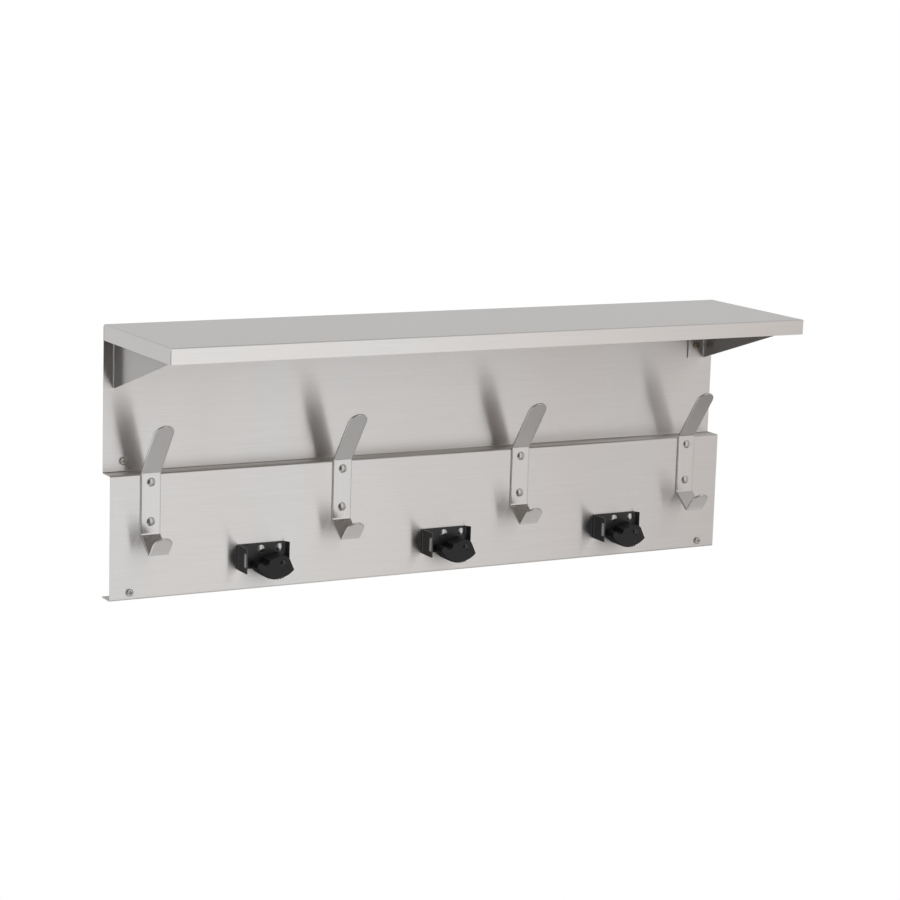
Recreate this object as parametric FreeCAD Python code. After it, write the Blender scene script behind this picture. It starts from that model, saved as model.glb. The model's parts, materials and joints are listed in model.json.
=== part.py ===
"""Wall-hung utility shelf with coat hooks and sprung handle holders.

Millimetres, +Z up, the wall is the plane y = 0 and the front faces -Y. The origin lies on the
wall, in the middle of the four upper wall screws. Each piece is written to parts/NODE.step.
"""
import FreeCAD, Part
import math
import os

V = FreeCAD.Vector

# Whole unit
unit_width = 863.6
shelf_depth = 203.2
unit_height = 330.2

# Shelf: a flat top with a lip turned down at the front and at both sides
shelf_sheet = 1.2
shelf_bend = 1.2
lip_height = 19.0
lip_back_gap = 0.8
corner_notch = 1.0

# Back panel: flat on the wall above, stepped out below, returned to the wall at its foot
panel_sheet = 1.2
panel_bend = 1.2
panel_top_return = 15.9
panel_return_gap = 1.0
ledge_drop = 177.8
ledge_reach = 25.4

# Brackets under the shelf, with a flange on the wall side and one under the top
bracket_sheet = 1.6
bracket_bend = 1.6
bracket_inset = 12.7
bracket_front_gap = 12.7
bracket_height = 76.2
bracket_nose = 16.5
wall_flange = 25.4
top_flange = 19.0

# Wall screws
screw_above_bracket_foot = 15.9
screw_above_ledge = 12.7
screw_above_panel_foot = 9.5
screw_radius = 2.4
screw_neck_radius = 2.1
screw_hole_gap = 0.4
screw_head_radius = 4.65
screw_head_height = 2.9
screw_head_round = 1.6
screw_in_wall = 28.0
screw_point = 6.0
recess_width = 1.3
recess_span = 5.0
recess_depth = 1.7

# Hooks: one bent strip each, with a full round at both ends
hook_count = 4
hook_from_end = 50.8
hook_width = 25.4
hook_sheet = 2.4
hook_bend = 1.0
hook_leg = 75.5
hook_leg_above_ledge = 1.7
prong_length = 78.4
prong_tilt = 35.7
trough_length = 32.4
trough_tilt = 52.8
hook_lip_length = 30.3
hook_lip_tilt = 38.6

# Rivets that hold the hooks
hook_rivet_drop = 9.8
hook_rivet_pitch = 47.9
hook_rivet_radius = 2.4
hook_rivet_head_radius = 5.4
hook_rivet_head_height = 2.0
hook_rivet_tail_radius = 4.0
hook_rivet_tail_height = 2.6
rivet_gap = 0.05

# Holder plates: each bent with a fixed jaw at its left and a short flared ear at its right
holder_count = 3
holder_sheet = 1.5
holder_bend = 0.6
holder_above_panel_foot = 25.8
holder_height = 31.4
holder_left = 12.6
holder_right = 49.05
jaw_reach = 28.0
ear_length = 9.2
ear_flare = 28.6
ear_above_pivot = 0.6
bead_length = 19.0
bead_above_foot = 6.9
bead_width = 5.8
bead_height = 1.0
bead_to_edge = 1.1

# Rivets that hold the holder plates
holder_rivet_pitch = 25.0
holder_rivet_drop = 7.0
holder_rivet_radius = 2.0
holder_rivet_head_radius = 4.75
holder_rivet_head_height = 1.4
holder_rivet_tail_radius = 3.4
holder_rivet_tail_height = 2.2

# Cams: rubber sectors that turn on a pin and press the handle against the fixed jaw
pivot_drop = 22.4
cam_over_rivets = 0.6
cam_depth = 20.8
cam_hub_radius = 9.2
cam_hub_to_ear = 1.05
cam_arc_radius = 30.7
cam_arc_left = 8.0
cam_arc_above = 12.0
cam_corner_angle = -43.5
cam_arc_end_angle = 209.0
notch_left = 23.5
notch_above = 3.3
notch_radius = 4.8
notch_round = 1.5
lobe_round = 2.4
tooth_count = 13
tooth_rise = 1.2
tooth_depth = 0.7
tooth_pitch_angle = 6.0
tooth_root_share = 0.22
tooth_tip_share = 0.28

# Cam pins and spacers
pin_radius = 2.4
pin_tenon_radius = 1.9
pin_head_radius = 4.5
pin_head_height = 1.5
running_gap = 0.05
cam_boss_wall = 1.5

# Cam springs
spring_wire = 1.2
spring_turns = 3
spring_coil_gap = 0.5
spring_slack = 0.9
spring_floor_gap = 0.6
spring_leg_bend = 1.6
spring_leg_in_cam = 4.0
spring_leg_gap = 0.2

overrun = 2.0

# Heights
screw_row_high = bracket_height - screw_above_bracket_foot
screw_row_middle = ledge_drop - screw_above_ledge
screw_row_low = unit_height - screw_above_panel_foot
shelf_top = (screw_row_high + screw_row_middle) / 2
shelf_underside = shelf_top - shelf_sheet
ledge_top = shelf_top - ledge_drop
panel_foot = shelf_top - unit_height
holder_foot = panel_foot + holder_above_panel_foot
holder_top = holder_foot + holder_height
pivot_z = holder_top - pivot_drop

# Depths
panel_face = -ledge_reach
holder_face = panel_face - holder_sheet
cam_back = holder_face - holder_rivet_head_height - cam_over_rivets
cam_front = cam_back - cam_depth

# Places across the unit
half_width = unit_width / 2
bracket_outside = half_width - bracket_inset
screw_x = bracket_outside - wall_flange / 2
pivot_offset = holder_right - cam_hub_to_ear - cam_hub_radius
ear_bend_run = (holder_bend + holder_sheet / 2) * math.tan(math.radians(90 - ear_flare) / 2)
hook_pitch = (unit_width - 2 * hook_from_end) / (hook_count - 1)
hook_places = [(i - (hook_count - 1) / 2) * hook_pitch for i in range(hook_count)]
holder_places = [(i - (holder_count - 1) / 2) * hook_pitch for i in range(holder_count)]

# Spring and its seat
boss_radius = pin_radius + running_gap + cam_boss_wall
spring_radius = boss_radius + spring_slack + spring_wire / 2
pocket_radius = spring_radius + spring_wire / 2 + spring_slack
spring_pitch = spring_wire + spring_coil_gap
pocket_floor = cam_back - spring_floor_gap - spring_wire - spring_turns * spring_pitch
spring_front = pocket_floor + spring_floor_gap + spring_wire / 2
leg_hole_radius = spring_wire / 2 + spring_leg_gap


def block(x_low, x_high, y_low, y_high, z_low, z_high):
    """A box between two corners."""
    return Part.makeBox(x_high - x_low, y_high - y_low, z_high - z_low, V(x_low, y_low, z_low))


def bar(radius, x, z, y_low, y_high):
    """A round bar that runs along Y."""
    return Part.makeCylinder(radius, y_high - y_low, V(x, y_low, z), V(0, 1, 0))


def in_side_view(x):
    """Lifts a (y, z) point to the plane at x."""
    return lambda p: V(x, p[0], p[1])


def in_front_view(y):
    """Lifts an (x, z) point to the plane at y."""
    return lambda p: V(p[0], y, p[1])


def in_plan(z):
    """Lifts an (x, y) point to the plane at z."""
    return lambda p: V(p[0], p[1], z)


def toward(start, end):
    """The direction from one flat point to another."""
    dx, dy = end[0] - start[0], end[1] - start[1]
    size = math.hypot(dx, dy)
    return dx / size, dy / size


def beside(point, step, distance):
    """The point moved to the left of a direction."""
    return point[0] - distance * step[1], point[1] + distance * step[0]


def face_of(profile, lift):
    """The face inside flat points; a pair of points stands for an arc's middle and its end."""
    edges = []
    at = profile[0]
    for item in profile[1:] + profile[:1]:
        if isinstance(item[0], tuple):
            middle, end = item
            edges.append(Part.Arc(lift(at), lift(middle), lift(end)).toShape())
        else:
            end = item
            edges.append(Part.LineSegment(lift(at), lift(end)).toShape())
        at = end
    return Part.Face(Part.Wire(edges))


def spun(profile, x, z):
    """A body turned about an axis along Y, from a profile of (radius, y)."""
    body = face_of(profile, in_plan(0)).revolve(V(0, 0, 0), V(0, 1, 0), 360)
    body.translate(V(x, 0, z))
    return body


def bent_sheet(path, sheet, bend, lift, carry):
    """A sheet whose middle line follows a flat path, with round bends, carried along a vector."""
    middle = bend + sheet / 2
    steps = [toward(a, b) for a, b in zip(path, path[1:])]
    bends = []
    for corner, before, after in zip(path[1:-1], steps, steps[1:]):
        turn = math.atan2(before[0] * after[1] - before[1] * after[0],
                          before[0] * after[0] + before[1] * after[1])
        way = math.copysign(1, turn)
        cut = middle * math.tan(abs(turn) / 2)
        start = (corner[0] - cut * before[0], corner[1] - cut * before[1])
        centre = beside(start, before, way * middle)
        outward = toward(centre, corner)
        sides = {}
        for side in (1, -1):
            radius = middle - way * side * sheet / 2
            sides[side] = (beside(centre, before, -way * radius),
                           (centre[0] + radius * outward[0], centre[1] + radius * outward[1]),
                           beside(centre, after, -way * radius))
        bends.append(sides)
    profile = [beside(path[0], steps[0], sheet / 2)]
    for sides in bends:
        first, top, last = sides[1]
        profile += [first, (top, last)]
    profile += [beside(path[-1], steps[-1], sheet / 2), beside(path[-1], steps[-1], -sheet / 2)]
    for sides in reversed(bends):
        first, top, last = sides[-1]
        profile += [last, (top, first)]
    profile.append(beside(path[0], steps[0], -sheet / 2))
    return face_of(profile, lift).extrude(carry)


def dome(radius, height, base, way):
    """A domed end in (radius, y): the top on the axis, the middle of its arc, and its rim."""
    ball = (radius ** 2 + height ** 2) / (2 * height)
    half = math.asin(min(1, radius / ball)) / 2
    middle = (ball * math.sin(half), base + way * (height - ball * (1 - math.cos(half))))
    return (0, base + way * height), middle, (radius, base)


def edges_near(shape, test):
    """The edges of a shape whose middle passes a test."""
    return [e for e in shape.Edges if test(e.CenterOfMass)]


def drilled(shape, holes, radius, y_low, y_high):
    """The shape with round holes along Y at each (x, z)."""
    for x, z in holes:
        shape = shape.cut(bar(radius, x, z, y_low, y_high))
    return shape


def screw_places(drop):
    """The two screws of a row, from how far the row lies below the shelf's top."""
    return [(side * screw_x, shelf_top - drop) for side in (-1, 1)]


def hook_rivet_places(x):
    """The two rivets of a hook."""
    return [(x, ledge_top - hook_rivet_drop - i * hook_rivet_pitch) for i in range(2)]


def holder_rivet_places(x):
    """The two rivets of a holder plate, the right one just clear of the ear's bend."""
    right = x + holder_right - ear_bend_run - holder_rivet_head_radius - rivet_gap
    return [(right - i * holder_rivet_pitch, holder_top - holder_rivet_drop) for i in range(2)]


def shelf():
    """The top with its lips, mitred at the front corners, where the lips leave a small notch."""
    mid = shelf_sheet / 2
    level = shelf_top - mid
    foot = shelf_top - lip_height
    front = bent_sheet([(0, level), (mid - shelf_depth, level), (mid - shelf_depth, foot)],
                       shelf_sheet, shelf_bend, in_side_view(-half_width), V(unit_width, 0, 0))
    reach = half_width - shelf_depth
    front_plan = [(-half_width, -shelf_depth), (half_width, -shelf_depth), (reach, 0), (-reach, 0)]
    tall = V(0, 0, lip_height + 2 * overrun)
    pieces = [front.common(face_of(front_plan, in_plan(foot - overrun)).extrude(tall))]
    for side in (-1, 1):
        rim = side * (half_width - mid)
        sheet = bent_sheet([(0, level), (rim, level), (rim, foot)], shelf_sheet,
                           shelf_bend, in_front_view(-shelf_depth), V(0, shelf_depth, 0))
        plan = [(side * half_width, -shelf_depth), (side * half_width, 0), (side * reach, 0)]
        pieces.append(sheet.common(face_of(plan, in_plan(foot - overrun)).extrude(tall)))
    body = pieces[0].fuse(pieces[1:]).removeSplitter()
    behind = -panel_sheet - lip_back_gap
    body = body.cut(block(-half_width - overrun, half_width + overrun, behind, overrun,
                          foot - overrun, shelf_underside))
    for side in (-1, 1):
        ends = sorted((side * (half_width - corner_notch), side * (half_width + overrun)))
        body = body.cut(block(*ends, -shelf_depth - overrun, corner_notch - shelf_depth,
                              foot - overrun, shelf_top - shelf_bend - shelf_sheet))
    return body


def back_panel():
    """One sheet: a return under the shelf, the wall part, the ledge, the front and the foot."""
    mid = panel_sheet / 2
    path = [(-panel_top_return, shelf_underside - mid), (-mid, shelf_underside - mid),
            (-mid, ledge_top - mid), (panel_face + mid, ledge_top - mid),
            (panel_face + mid, panel_foot + mid), (0, panel_foot + mid)]
    body = bent_sheet(path, panel_sheet, panel_bend, in_side_view(-half_width), V(unit_width, 0, 0))
    for side in (-1, 1):
        inner = bracket_outside - top_flange - panel_return_gap
        ends = sorted((side * inner, side * (half_width + overrun)))
        body = body.cut(block(*ends, -panel_top_return - overrun, -panel_sheet,
                              shelf_underside - panel_sheet - panel_bend, shelf_top))
    through = (panel_face - overrun, overrun)
    rows = (screw_row_high, screw_row_middle, screw_row_low)
    screws = [place for row in rows for place in screw_places(row)]
    hooks = [place for x in hook_places for place in hook_rivet_places(x)]
    holders = [place for x in holder_places for place in holder_rivet_places(x)]
    body = drilled(body, screws, screw_radius + screw_hole_gap, *through)
    body = drilled(body, hooks, hook_rivet_radius + rivet_gap, *through)
    return drilled(body, holders, holder_rivet_radius + rivet_gap, *through)


def bracket(side):
    """A gusset plate; its wall flange and its top flange turn towards the middle of the unit."""
    mid = bracket_sheet / 2
    plate_x = side * (bracket_outside - mid)
    back = -panel_sheet
    front = bracket_front_gap - shelf_depth
    foot = shelf_top - bracket_height
    corner = bracket_bend + bracket_sheet
    flange_end = side * (bracket_outside - wall_flange)
    top_end = side * (bracket_outside - top_flange)
    wall_path = [(flange_end, back - mid), (plate_x, back - mid), (plate_x, front)]
    wall_part = bent_sheet(wall_path, bracket_sheet, bracket_bend, in_plan(foot),
                           V(0, 0, shelf_underside - corner - foot))
    top_path = [(top_end, shelf_underside - mid), (plate_x, shelf_underside - mid), (plate_x, foot)]
    top_part = bent_sheet(top_path, bracket_sheet, bracket_bend, in_front_view(front),
                          V(0, back - corner - front, 0))
    outline = [(back, shelf_underside), (front, shelf_underside), (front, shelf_top - bracket_nose),
               (back - corner, foot), (back, foot)]
    reach = bracket_outside + overrun
    keep = face_of(outline, in_side_view(-reach)).extrude(V(2 * reach, 0, 0))
    body = wall_part.fuse(top_part).removeSplitter().common(keep)
    holes = [place for place in screw_places(screw_row_high) if place[0] * side > 0]
    return drilled(body, holes, screw_radius + screw_hole_gap, back - corner, overrun)


def wall_screws(drop, seat):
    """Two pan-headed screws with cross recesses; the neck under the head ends at the wall."""
    top = seat - screw_head_height
    shoulder = screw_head_radius - screw_head_round
    corner = screw_head_round * (1 - math.sqrt(1 / 2))
    rim = (screw_head_radius, top + screw_head_round)
    profile = [(0, top), (shoulder, top), ((screw_head_radius - corner, top + corner), rim),
               (screw_head_radius, seat), (screw_neck_radius, seat), (screw_neck_radius, 0),
               (screw_radius, 0), (screw_radius, screw_in_wall - screw_point), (0, screw_in_wall)]
    screws = []
    for x, z in screw_places(drop):
        body = spun(profile, x, z)
        for across, up in ((recess_span, recess_width), (recess_width, recess_span)):
            body = body.cut(block(x - across / 2, x + across / 2, top - overrun, top + recess_depth,
                                  z - up / 2, z + up / 2))
        screws.append(body)
    return Part.makeCompound(screws)


def hook(x):
    """A strip bent to a long prong above and a short trough below."""
    mid = hook_sheet / 2
    half = hook_width / 2
    y = panel_face - mid
    high = ledge_top + hook_leg_above_ledge
    low = high - hook_leg
    prong, trough, lip = (math.radians(a) for a in (prong_tilt, trough_tilt, hook_lip_tilt))
    prong_end = (y - prong_length * math.sin(prong), high + prong_length * math.cos(prong))
    bottom = (y - trough_length * math.sin(trough), low - trough_length * math.cos(trough))
    lip_end = (bottom[0] - hook_lip_length * math.sin(lip), bottom[1] + hook_lip_length * math.cos(lip))
    body = bent_sheet([prong_end, (y, high), (y, low), bottom, lip_end],
                      hook_sheet, hook_bend, in_side_view(x - half), V(hook_width, 0, 0))
    corners = block(-half - overrun, half + overrun, -hook_sheet, hook_sheet, 0, half + overrun)
    corners = corners.cut(bar(half, 0, 0, -hook_sheet - overrun, hook_sheet + overrun))
    for end, tilt in ((prong_end, prong), (lip_end, lip)):
        tool = corners.copy()
        tool.rotate(V(0, 0, 0), V(1, 0, 0), math.degrees(tilt))
        tool.translate(V(x, end[0] + half * math.sin(tilt), end[1] - half * math.cos(tilt)))
        body = body.cut(tool)
    return drilled(body, hook_rivet_places(x), hook_rivet_radius + rivet_gap,
                   panel_face - hook_sheet - overrun, panel_face + overrun)


def rivets(places, seat, radius, head_radius, head_height, tail_radius, tail_height):
    """Domed rivets: the head on its seat, the shank through the panel, the set tail behind it."""
    back = panel_face + panel_sheet
    head_top, head_middle, head_rim = dome(head_radius, head_height, seat, -1)
    tail_top, tail_middle, tail_rim = dome(tail_radius, tail_height, back, 1)
    profile = [head_top, (head_middle, head_rim), (radius, seat), (radius, back),
               tail_rim, (tail_middle, tail_top)]
    return Part.makeCompound([spun(profile, x, z) for x, z in places])


def hook_rivets(x):
    """The two rivets of a hook."""
    return rivets(hook_rivet_places(x), panel_face - hook_sheet, hook_rivet_radius, hook_rivet_head_radius,
                  hook_rivet_head_height, hook_rivet_tail_radius, hook_rivet_tail_height)


def holder_rivets(x):
    """The two rivets of a holder plate."""
    return rivets(holder_rivet_places(x), holder_face, holder_rivet_radius, holder_rivet_head_radius,
                  holder_rivet_head_height, holder_rivet_tail_radius, holder_rivet_tail_height)


def bead(x_skin, x_root):
    """The round-ended bead pressed out of the jaw, from its crest past x_skin in to x_root."""
    half = bead_width / 2
    ball = (half ** 2 + bead_height ** 2) / (2 * bead_height)
    y = panel_face - jaw_reach + bead_to_edge + half
    low = holder_foot + bead_above_foot + half
    high = low + bead_length - bead_width
    at = x_skin - bead_height + ball
    body = Part.makeCylinder(ball, high - low, V(at, y, low), V(0, 0, 1))
    body = body.fuse([Part.makeSphere(ball, V(at, y, z)) for z in (low, high)])
    return body.common(block(x_skin - bead_height - overrun, x_root, y - bead_width, y + bead_width,
                             low - bead_width, high + bead_width))


def holder_plate(x):
    """The fixed jaw, the back and the short flared ear, bent from one plate."""
    mid = holder_sheet / 2
    back = panel_face - mid
    skin = x - holder_left
    right = x + holder_right
    flare = math.radians(ear_flare)
    tip = (right + ear_length * math.sin(flare), back - ear_length * math.cos(flare))
    path = [(skin + mid, panel_face - jaw_reach), (skin + mid, back), (right, back), tip]
    body = bent_sheet(path, holder_sheet, holder_bend, in_plan(holder_foot), V(0, 0, holder_height))
    body = body.cut(block(right - ear_bend_run, tip[0] + overrun, tip[1] - overrun, panel_face + overrun,
                          holder_foot - overrun, pivot_z + ear_above_pivot))
    body = body.fuse(bead(skin, skin + mid)).cut(bead(skin + holder_sheet, skin + holder_sheet + overrun))
    through = (holder_face - overrun, panel_face + overrun)
    body = drilled(body, holder_rivet_places(x), holder_rivet_radius + rivet_gap, *through)
    body = drilled(body, [(x + pivot_offset, pivot_z)], pin_tenon_radius + rivet_gap, *through)
    leg = (x + pivot_offset + spring_leg_bend, pivot_z + spring_radius)
    return drilled(body, [leg], leg_hole_radius, *through)


def cam(x):
    """The rubber sector: hub, straight side, toothed arc, and a notch behind its lobe."""
    arc_centre = (-cam_arc_left, cam_arc_above)

    def on_arc(degrees, radius=cam_arc_radius):
        a = math.radians(degrees)
        return arc_centre[0] + radius * math.cos(a), arc_centre[1] + radius * math.sin(a)

    def on_hub(angle):
        return cam_hub_radius * math.cos(angle), cam_hub_radius * math.sin(angle)

    corner = on_arc(cam_corner_angle)
    notch = (-notch_left, notch_above)
    right = math.atan2(corner[1], corner[0]) + math.acos(cam_hub_radius / math.hypot(*corner))
    left = math.atan2(notch[1], notch[0]) - math.acos(cam_hub_radius / math.hypot(*notch))
    step = toward(on_hub(left), notch)
    along = (arc_centre[0] - notch[0]) * step[0] + (arc_centre[1] - notch[1]) * step[1]
    off = math.hypot(arc_centre[0] - notch[0] - along * step[0], arc_centre[1] - notch[1] - along * step[1])
    run = along + math.sqrt(cam_arc_radius ** 2 - off ** 2)
    lobe = (notch[0] + run * step[0], notch[1] + run * step[1])
    profile = [on_hub(right), (on_hub((left + right) / 2), on_hub(left)), lobe]
    for i in range(tooth_count):
        start = cam_arc_end_angle + i * tooth_pitch_angle
        root = tooth_root_share * tooth_pitch_angle
        tip = (1 - tooth_tip_share) / 2 * tooth_pitch_angle
        low, high = cam_arc_radius - tooth_depth, cam_arc_radius + tooth_rise
        profile += [on_arc(start + root, low), on_arc(start + tip, high),
                    on_arc(start + tooth_pitch_angle - tip, high),
                    on_arc(start + tooth_pitch_angle - root, low)]
    smooth = cam_arc_end_angle + tooth_count * tooth_pitch_angle
    profile += [on_arc(smooth), (on_arc((smooth + 360 + cam_corner_angle) / 2), corner)]
    body = face_of(profile, in_front_view(cam_front)).extrude(V(0, cam_depth, 0))

    near = lobe_round / 4
    body = body.makeFillet(lobe_round, edges_near(
        body, lambda c: math.hypot(c.x - lobe[0], c.z - lobe[1]) < near))
    body = body.cut(bar(notch_radius, *notch, cam_front - overrun, cam_back + overrun))
    mouth = [(notch[0] + way * notch_radius * step[0], notch[1] + way * notch_radius * step[1])
             for way in (-1, 1)]
    body = body.makeFillet(notch_round, edges_near(
        body, lambda c: any(math.hypot(c.x - m[0], c.z - m[1]) < near for m in mouth)))
    pocket = bar(pocket_radius, 0, 0, pocket_floor, cam_back + overrun)
    body = body.cut(pocket.cut(bar(boss_radius, 0, 0, pocket_floor - overrun, cam_back + 2 * overrun)))
    leg_end = spring_front - spring_leg_bend - spring_leg_in_cam - spring_leg_gap
    body = body.cut(bar(leg_hole_radius, -spring_leg_bend, spring_radius, leg_end, cam_back))
    body = body.cut(bar(pin_radius + running_gap, 0, 0, cam_front - overrun, cam_back + overrun))
    body.translate(V(x + pivot_offset, 0, pivot_z))
    return body


def cam_pin(x):
    """The pivot pin: a domed head in front of the cam and a tenon set flush in the plate."""
    top, middle, rim = dome(pin_head_radius, pin_head_height, cam_front, -1)
    profile = [top, (middle, rim), (pin_radius, cam_front), (pin_radius, holder_face),
               (pin_tenon_radius, holder_face), (pin_tenon_radius, panel_face), (0, panel_face)]
    return spun(profile, x + pivot_offset, pivot_z)


def cam_spacer(x):
    """The spacer that holds the cam clear of the rivet heads."""
    at = (x + pivot_offset, pivot_z, cam_back, holder_face)
    return bar(boss_radius, *at).cut(bar(pin_radius + running_gap, *at))


def arc_from(start, way, end):
    """The arc that leaves start along the unit vector way and stops at end, and its last direction."""
    chord = end - start
    normal = (chord - way * chord.dot(way)).normalize()
    radius = chord.dot(chord) / (2 * chord.dot(normal))
    centre = start + normal * radius
    middle = centre + ((start - centre) + (end - centre)).normalize() * radius
    out = (end - centre).normalize()
    return Part.Arc(start, middle, end).toShape(), normal * out.dot(way) - way * out.dot(normal)


def biarcs(stations):
    """Two arcs between each two stations of (point, direction), tangent all along."""
    edges = []
    for (p, t), (q, u) in zip(stations, stations[1:]):
        v = q - p
        bend = 2 * (1 - t.dot(u))
        lean = v.dot(t + u)
        size = (math.sqrt(lean ** 2 + bend * v.dot(v)) - lean) / bend
        middle = (p + t * size + q - u * size) * (1 / 2)
        first, way = arc_from(p, t, middle)
        second, way = arc_from(middle, way, q)
        edges += [first, second]
    return edges


def least_gap(path):
    """The least gap of the wire to itself, on points of its middle line over half a turn apart."""
    points = path.discretize(Number=60 * spring_turns)
    reach = math.pi * spring_radius
    step = path.Length / (len(points) - 1)
    skip = math.ceil(reach / step)
    return min((q - p).Length for i, p in enumerate(points) for q in points[i + skip:]) - spring_wire


def cam_spring(x):
    """A torsion spring round the pin, with one leg in the cam and one in the plate."""
    turn = 2 * math.pi
    rise = spring_pitch / turn
    stations = []
    steps = 4 * spring_turns
    for i in range(steps + 1):
        a = turn * i / 4
        way = V(spring_radius * math.cos(a), rise, -spring_radius * math.sin(a))
        if i in (0, steps):
            way.y = 0
        point = V(spring_radius * math.sin(a), spring_front + rise * a, spring_radius * math.cos(a))
        stations.append((point, way.normalize()))
    first, last = stations[0][0], stations[-1][0]
    corner = spring_leg_bend * (1 - math.sqrt(1 / 2))
    in_cam = first + V(-spring_leg_bend, -spring_leg_bend, 0)
    in_plate = last + V(spring_leg_bend, spring_leg_bend, 0)
    tip = in_cam + V(0, -spring_leg_in_cam, 0)
    tail = V(in_plate.x, panel_face - spring_leg_gap, in_plate.z)
    lead = Part.Arc(in_cam, V(in_cam.x + corner, first.y - corner, first.z), first)
    trail = Part.Arc(last, V(in_plate.x - corner, last.y + corner, last.z), in_plate)
    edges = [Part.LineSegment(tip, in_cam).toShape(), lead.toShape()]
    edges += biarcs(stations)
    edges += [trail.toShape(), Part.LineSegment(in_plate, tail).toShape()]
    path = Part.Wire(edges)
    print("spring wire %.1f long, least gap to itself %.2f" % (path.Length, least_gap(path)))
    ring = Part.Wire(Part.makeCircle(spring_wire / 2, tip, V(0, 1, 0)))
    body = path.makePipeShell([ring], True, False)
    body.translate(V(x + pivot_offset, 0, pivot_z))
    return body


nodes = {
    "shelf": shelf(),
    "back_panel": back_panel(),
    "bracket_left": bracket(-1),
    "bracket_right": bracket(1),
    "bracket_screws": wall_screws(screw_row_high, -panel_sheet - bracket_sheet),
    "panel_screws": wall_screws(screw_row_middle, -panel_sheet),
    "foot_screws": wall_screws(screw_row_low, panel_face),
}
for number, place in enumerate(hook_places, 1):
    nodes["hook_%d" % number] = hook(place)
    nodes["hook_rivets_%d" % number] = hook_rivets(place)
for number, place in enumerate(holder_places, 1):
    nodes["holder_plate_%d" % number] = holder_plate(place)
    nodes["holder_rivets_%d" % number] = holder_rivets(place)
    nodes["cam_%d" % number] = cam(place)
    nodes["cam_pin_%d" % number] = cam_pin(place)
    nodes["cam_spacer_%d" % number] = cam_spacer(place)
    nodes["cam_spring_%d" % number] = cam_spring(place)

os.makedirs("parts", exist_ok=True)
for name, shape in nodes.items():
    shape.exportStep("parts/%s.step" % name)
    print("%-16s solids %d valid %s volume %.1f" % (name, len(shape.Solids), shape.isValid(), shape.Volume))
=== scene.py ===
"""Looks of a wall-hung utility shelf with coat hooks and sprung handle holders.

Metres, +Z up, the wall is the plane y = 0 and the front faces -Y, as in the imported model.
"""
import json
import math

import bmesh
import bpy
import numpy as np
from bpy.props import FloatProperty, FloatVectorProperty, IntProperty, PointerProperty
from mathutils import Matrix, Vector

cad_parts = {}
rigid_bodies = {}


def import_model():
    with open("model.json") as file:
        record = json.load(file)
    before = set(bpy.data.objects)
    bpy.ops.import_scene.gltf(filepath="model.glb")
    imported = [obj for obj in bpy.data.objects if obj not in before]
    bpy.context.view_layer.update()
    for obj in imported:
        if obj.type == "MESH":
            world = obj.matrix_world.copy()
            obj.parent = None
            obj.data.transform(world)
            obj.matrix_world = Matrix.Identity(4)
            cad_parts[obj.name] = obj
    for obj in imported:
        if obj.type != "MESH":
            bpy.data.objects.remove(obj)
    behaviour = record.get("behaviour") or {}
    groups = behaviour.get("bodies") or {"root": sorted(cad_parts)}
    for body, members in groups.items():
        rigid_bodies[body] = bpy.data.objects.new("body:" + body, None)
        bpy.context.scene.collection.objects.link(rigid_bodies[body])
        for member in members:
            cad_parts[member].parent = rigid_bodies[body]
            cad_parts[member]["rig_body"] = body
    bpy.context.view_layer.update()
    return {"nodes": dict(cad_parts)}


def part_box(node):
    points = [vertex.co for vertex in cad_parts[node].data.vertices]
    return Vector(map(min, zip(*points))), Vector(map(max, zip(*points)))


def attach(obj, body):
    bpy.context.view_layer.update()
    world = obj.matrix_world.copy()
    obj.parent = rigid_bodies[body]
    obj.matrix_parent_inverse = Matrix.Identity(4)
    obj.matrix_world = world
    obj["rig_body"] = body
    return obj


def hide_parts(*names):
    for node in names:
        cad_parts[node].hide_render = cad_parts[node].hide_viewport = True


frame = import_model()

bl_info = {
    "name": "Utility shelf with hooks",
    "version": (1, 0, 0),
    "blender": (4, 5, 0),
    "location": "3D View > Sidebar > Shelf",
    "description": "Dresses a wall-hung steel utility shelf with hooks and handle holders",
    "category": "Object",
}

HOOKS = ["1", "2", "3", "4"]
HOLDERS = {"1": "cam_left", "2": "cam_middle", "3": "cam_right"}
MM = 0.001

# The front of the panel's lower part in y, and the top of the ledge over it in z, in metres.
PANEL_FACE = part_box("back_panel")[0].y
LEDGE_TOP = -0.0651

# The camera solved from the photo: its place in metres, its azimuth, elevation and roll in degrees,
# and its lens and sensor in millimetres.
CAMERA_PLACE = (-1.568987, -2.910298, 0.5434235)
CAMERA_TURN = (-28.9164, 10.398, 1.7547)
CAMERA_LENS = 106.278
CAMERA_SENSOR = 36.0

# What metal mirrors, as linear colours: the front of the room from its far left to its far right, and
# the floor from left to right, both as (place, colour) stops.
FRONT = [(0.0, (0.97, 0.97, 0.965)), (0.05, (0.97, 0.97, 0.965)), (0.11, (0.62, 0.62, 0.62)),
         (0.50, (0.66, 0.66, 0.66)), (0.62, (0.96, 0.96, 0.955)), (0.70, (0.97, 0.965, 0.96)),
         (0.745, (0.88, 0.87, 0.86)), (0.77, (0.735, 0.705, 0.688)), (0.785, (0.645, 0.612, 0.594)),
         (0.83, (0.618, 0.585, 0.567)), (0.90, (0.52, 0.50, 0.48)), (1.0, (0.70, 0.69, 0.68))]
FLOOR = [(0.0, (0.95, 0.945, 0.935)), (0.22, (0.60, 0.59, 0.58)), (0.45, (0.475, 0.465, 0.455)),
         (0.61, (0.49, 0.48, 0.47)), (0.75, (0.44, 0.43, 0.42)), (1.0, (0.27, 0.26, 0.25))]
BACK_LEFT, BACK_RIGHT = (0.64, 0.64, 0.64, 1), (0.565, 0.562, 0.558, 1)
CEILING = (0.50, 0.495, 0.49, 1)
BY_WALL_LEFT, BY_WALL_RIGHT = (0.95, 0.945, 0.935, 1), (0.68, 0.67, 0.66, 1)
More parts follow.
